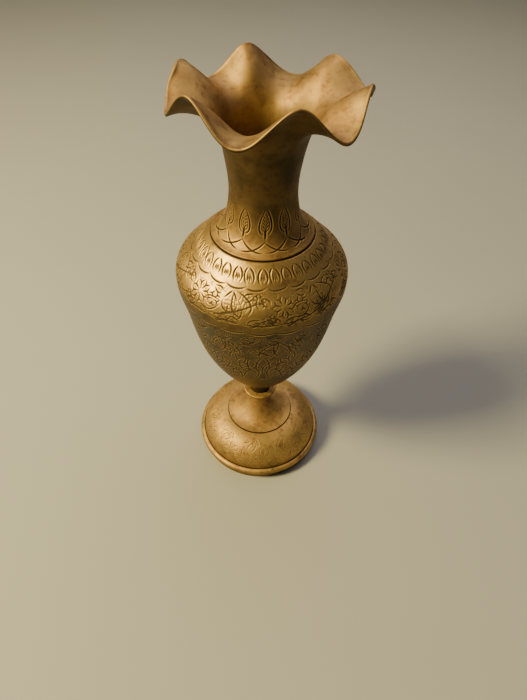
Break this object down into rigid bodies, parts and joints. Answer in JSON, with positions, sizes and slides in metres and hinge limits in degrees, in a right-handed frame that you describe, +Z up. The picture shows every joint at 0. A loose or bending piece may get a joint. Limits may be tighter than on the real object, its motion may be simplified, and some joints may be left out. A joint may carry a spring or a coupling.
{
  "type": "flower vase",
  "caption": "Engraved brass flower vase with a ruffled mouth and slim neck, on a domed pedestal foot that unscrews from the bowl.",
  "frame": {"origin": "on the vase's axis, on the plane that the foot stands on", "axes": "+Z up along the vase's axis; +Y away from the viewer"},
  "size_m": [0.0828, 0.0828, 0.2317],
  "materials": {
    "engraved_brass": "satin, aged, hand engraved, dark in the cuts",
    "plain_brass": "satin, turned, worn bright on the edges",
    "neck_brass": "satin, aged, red-brown patches, engraved low on the neck",
    "dull_brass": "dull, threaded"
  },
  "bodies": {
    "foot": {"foot_dome": "engraved_brass", "stem_cone": "plain_brass"},
    "knop": {"knop_ring": "plain_brass"},
    "vessel": {"joining_screw": "dull_brass", "body_boss": "plain_brass", "belly_shell": "engraved_brass", "shoulder_shell": "engraved_brass", "mouth_and_neck": "neck_brass"}
  },
  "joints": [
    {"name": "vessel_lift", "type": "slide", "parent": "foot", "child": "knop", "axis": [0, 0, 1], "range_m": [0, 0.0075]},
    {"name": "vessel_turn", "type": "hinge", "parent": "knop", "child": "vessel", "pos_m": [0, 0, 0.0478], "axis": [0, 0, 1], "range_deg": [0, 1800]}
  ],
  "couplings": [
    {"joint": "vessel_lift", "follows": "vessel_turn", "m_per_rad": 0.0002387}
  ]
}
